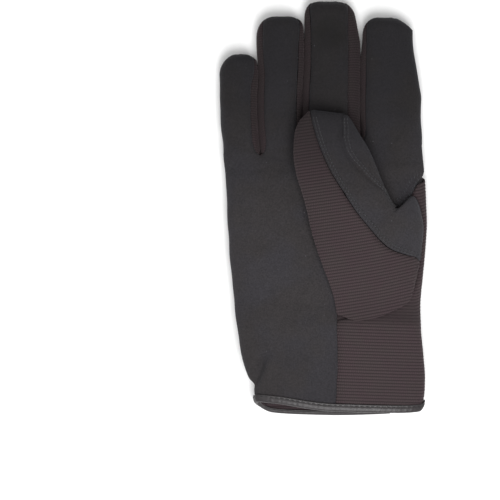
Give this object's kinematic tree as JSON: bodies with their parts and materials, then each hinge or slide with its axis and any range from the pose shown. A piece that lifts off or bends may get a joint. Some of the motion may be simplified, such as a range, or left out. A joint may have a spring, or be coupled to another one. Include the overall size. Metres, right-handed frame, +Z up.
{
  "type": "mechanic glove",
  "caption": "Right-hand work glove lying palm up with its thumb folded over the palm: suede palm and fingertips, ribbed knit back, bound open wrist with a strap tab.",
  "frame": {"origin": "middle of the bounding box at the height of the surface that the back of the glove lies on", "axes": "+Y towards the fingertips, +X towards the side of the thumb, +Z up out of the palm"},
  "size_m": [0.1202, 0.2404, 0.0331],
  "materials": {
    "suede": "napped synthetic suede, dull",
    "ribbed": "fine ribbed stretch fabric, dull",
    "binding": "thin coated tape, semi-gloss",
    "strap": "grained coated leather, semi-gloss",
    "pad": "hook pad, dull"
  },
  "bodies": {
    "root": {"palm_panel": "suede", "back_panel": "ribbed", "ring_tip_cap": "suede", "middle_tip_cap": "suede", "index_tip_cap": "suede", "fourchette_pinky_ring": "ribbed", "fourchette_ring_middle": "ribbed", "fourchette_middle_index": "ribbed", "thumb_back": "ribbed", "thumb_front": "suede", "thumb_patch": "suede", "hem_binding": "binding", "slit_binding": "binding", "wrist_strap": "strap", "strap_binding": "binding", "fastener_pad": "pad"}
  },
  "joints": []
}
